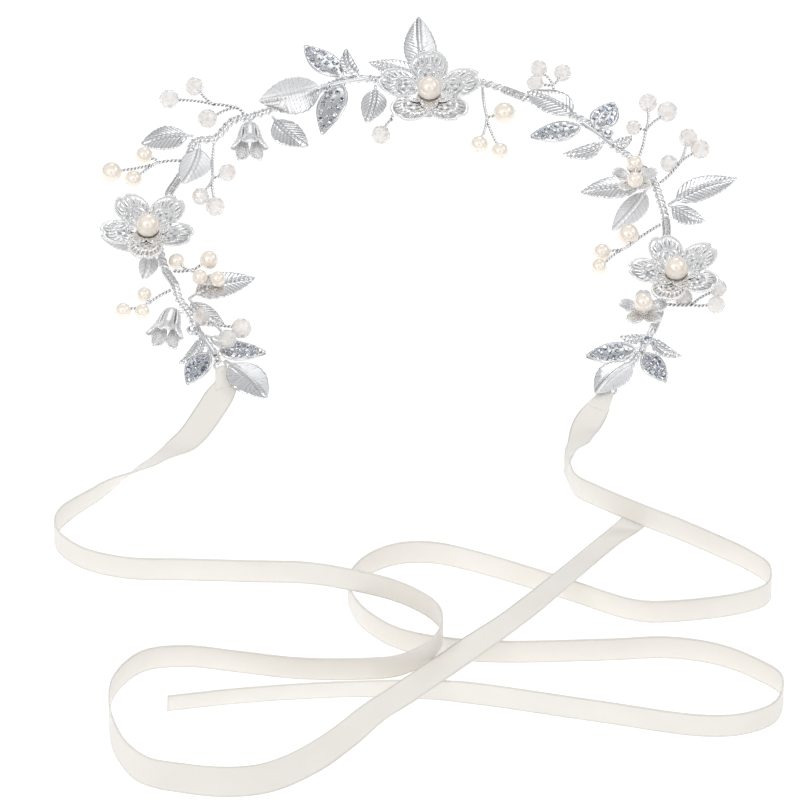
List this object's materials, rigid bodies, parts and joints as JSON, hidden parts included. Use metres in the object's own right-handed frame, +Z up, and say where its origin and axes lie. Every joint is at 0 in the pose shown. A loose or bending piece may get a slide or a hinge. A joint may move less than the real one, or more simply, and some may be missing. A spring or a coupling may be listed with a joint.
{
  "type": "flower crown",
  "caption": "Bridal flower crown: a bendable wire vine of cast leaves, filigree flowers, pearl and crystal sprigs, tied on with two satin ribbons.",
  "frame": {"origin": "middle of the vine's footprint on the table it lies on, leaving out the two ribbon ties", "axes": "+Z up from the table through the flowers' faces, +Y from the tied ends towards the top of the hoop, +X across the hoop to the wearer's side with the single cup flowers"},
  "size_m": [0.2404, 0.3627, 0.0213],
  "materials": {
    "silver_plate": "bright and satin silver plate",
    "silver_wire": "bright wrapped wire",
    "pearl": "ivory imitation pearl",
    "crystal": "faceted pale glass beads",
    "satin_ribbon": "ivory satin"
  },
  "bodies": {
    "centre": {"stem_centre": "silver_wire", "leaf_upper_left_b": "silver_plate", "leaf_upper_left_a": "silver_plate", "leaf_over_stem_left": "silver_plate", "leaf_below_left": "silver_plate", "leaf_pair_centre": "silver_plate", "leaf_centre_low": "silver_plate", "centre_left_branch": "silver_plate", "bell_flower_high": "silver_plate", "flower_centre_base": "silver_plate", "flower_centre_petals": "silver_plate", "flower_centre_rosette": "silver_plate", "flower_centre_pearl": "pearl"},
    "left_arm": {"stem_left_arm": "silver_wire", "leaf_pair_flower_left": "silver_plate", "flower_left_base": "silver_plate", "flower_left_petals": "silver_plate", "flower_left_rosette": "silver_plate", "flower_left_pearl": "pearl"},
    "left_end": {"stem_left_end": "silver_wire", "end_leaf_left": "silver_plate", "pale_leaf_left": "silver_plate", "leaf_pair_left": "silver_plate", "left_end_branch": "silver_plate", "bell_flower_low": "silver_plate", "knot_left": "satin_ribbon", "ribbon_left": "satin_ribbon"},
    "right_shoulder": {"stem_right_shoulder": "silver_wire", "leaf_over_stem_right": "silver_plate", "upper_right_branch": "silver_plate", "cup_flower_high": "silver_plate", "cup_flower_high_pearls": "pearl", "leaf_pair_right_inner": "silver_plate", "leaf_pair_right_outer": "silver_plate"},
    "right_arm": {"stem_right_arm": "silver_wire", "flower_right_base": "silver_plate", "flower_right_petals": "silver_plate", "flower_right_rosette": "silver_plate", "flower_right_pearl": "pearl", "cup_flower_low": "silver_plate", "cup_flower_low_pearl": "pearl"},
    "right_end": {"stem_right_end": "silver_wire", "right_end_branch": "silver_plate", "end_leaf_right": "silver_plate", "knot_right": "satin_ribbon", "ribbon_right": "satin_ribbon"},
    "crystals_left_end_sprig": {"crystals_left_end": "crystal"},
    "pearls_left_low_sprig": {"pearls_left_low": "pearl"},
    "pearls_left_mid_sprig": {"pearls_left_mid": "pearl"},
    "pearls_upper_left_sprig": {"pearls_upper_left": "pearl"},
    "crystals_left_inner_sprig": {"crystals_left_inner": "crystal"},
    "crystals_left_outer_sprig": {"crystals_left_outer": "crystal"},
    "crystal_centre_sprig": {"crystal_centre": "crystal"},
    "pearls_centre_right_sprig": {"pearls_centre_right": "pearl"},
    "crystals_right_a_sprig": {"crystals_right_a": "crystal"},
    "crystals_right_b_sprig": {"crystals_right_b": "crystal"},
    "crystals_right_c_sprig": {"crystals_right_c": "crystal"},
    "pearls_right_inner_sprig": {"pearls_right_inner": "pearl"},
    "crystals_right_low_sprig": {"crystals_right_low": "crystal"}
  },
  "joints": [
    {"name": "left_upper_flex", "type": "hinge", "parent": "centre", "child": "left_arm", "pos_m": [-0.0827, 0.01064, 0.0032], "axis": [0, 0, 1], "range_deg": [-8, 8]},
    {"name": "left_lower_flex", "type": "hinge", "parent": "left_arm", "child": "left_end", "pos_m": [-0.08307, -0.03323, 0.0032], "axis": [0, 0, 1], "range_deg": [-8, 8], "deforming": ["ribbon_left"]},
    {"name": "right_upper_flex", "type": "hinge", "parent": "centre", "child": "right_shoulder", "pos_m": [0.03216, 0.05572, 0.0032], "axis": [0, 0, 1], "range_deg": [-8, 8]},
    {"name": "right_middle_flex", "type": "hinge", "parent": "right_shoulder", "child": "right_arm", "pos_m": [0.08319, -0.01038, 0.0032], "axis": [0, 0, 1], "range_deg": [-8, 8]},
    {"name": "right_lower_flex", "type": "hinge", "parent": "right_arm", "child": "right_end", "pos_m": [0.07932, -0.05399, 0.0032], "axis": [0, 0, 1], "range_deg": [-8, 8], "deforming": ["ribbon_right"]},
    {"name": "crystals_left_end_bend", "type": "hinge", "parent": "left_end", "child": "crystals_left_end_sprig", "pos_m": [-0.07322, -0.0553, 0.00417], "axis": [-0.3846, -0.9231, 0], "range_deg": [0, 20]},
    {"name": "pearls_left_low_bend", "type": "hinge", "parent": "left_end", "child": "pearls_left_low_sprig", "pos_m": [-0.08322, -0.03884, 0.00324], "axis": [-0.6644, 0.7474, 0], "range_deg": [0, 20]},
    {"name": "pearls_left_mid_bend", "type": "hinge", "parent": "left_arm", "child": "pearls_left_mid_sprig", "pos_m": [-0.08256, -0.03005, 0.0037], "axis": [-0.1843, -0.9829, 0], "range_deg": [0, 20]},
    {"name": "pearls_upper_left_bend", "type": "hinge", "parent": "centre", "child": "pearls_upper_left_sprig", "pos_m": [-0.08017, 0.02313, 0.0032], "axis": [-0.1047, 0.9945, 0], "range_deg": [0, 20]},
    {"name": "crystals_left_inner_bend", "type": "hinge", "parent": "centre", "child": "crystals_left_inner_sprig", "pos_m": [-0.06897, 0.03148, 0.00323], "axis": [-0.9997, 0.0263, 0], "range_deg": [0, 20]},
    {"name": "crystals_left_outer_bend", "type": "hinge", "parent": "centre", "child": "crystals_left_outer_sprig", "pos_m": [-0.05921, 0.04582, 0.00327], "axis": [0.7474, 0.6644, 0], "range_deg": [0, 20]},
    {"name": "crystal_centre_bend", "type": "hinge", "parent": "centre", "child": "crystal_centre_sprig", "pos_m": [-0.00576, 0.05726, 0.00318], "axis": [-0.9701, 0.2425, 0], "range_deg": [0, 20]},
    {"name": "pearls_centre_right_bend", "type": "hinge", "parent": "centre", "child": "pearls_centre_right_sprig", "pos_m": [0.02155, 0.05881, 0.00322], "axis": [-0.9959, -0.0905, 0], "range_deg": [0, 20]},
    {"name": "crystals_right_a_bend", "type": "hinge", "parent": "right_shoulder", "child": "crystals_right_a_sprig", "pos_m": [0.04592, 0.05052, 0.00329], "axis": [0.9962, 0.0866, 0], "range_deg": [0, 20]},
    {"name": "crystals_right_b_bend", "type": "hinge", "parent": "right_shoulder", "child": "crystals_right_b_sprig", "pos_m": [0.07394, 0.02445, 0.00334], "axis": [0.9806, -0.1961, 0], "range_deg": [0, 20]},
    {"name": "crystals_right_c_bend", "type": "hinge", "parent": "right_shoulder", "child": "crystals_right_c_sprig", "pos_m": [0.08138, 0.01258, 0.00337], "axis": [0.8, -0.6, 0], "range_deg": [0, 20]},
    {"name": "pearls_right_inner_bend", "type": "hinge", "parent": "right_shoulder", "child": "pearls_right_inner_sprig", "pos_m": [0.08101, -0.00749, 0.00326], "axis": [-0.7071, 0.7071, 0], "range_deg": [0, 20]},
    {"name": "crystals_right_low_bend", "type": "hinge", "parent": "right_arm", "child": "crystals_right_low_sprig", "pos_m": [0.08297, -0.04551, 0.00324], "axis": [-0.0499, -0.9988, 0], "range_deg": [0, 6]}
  ]
}
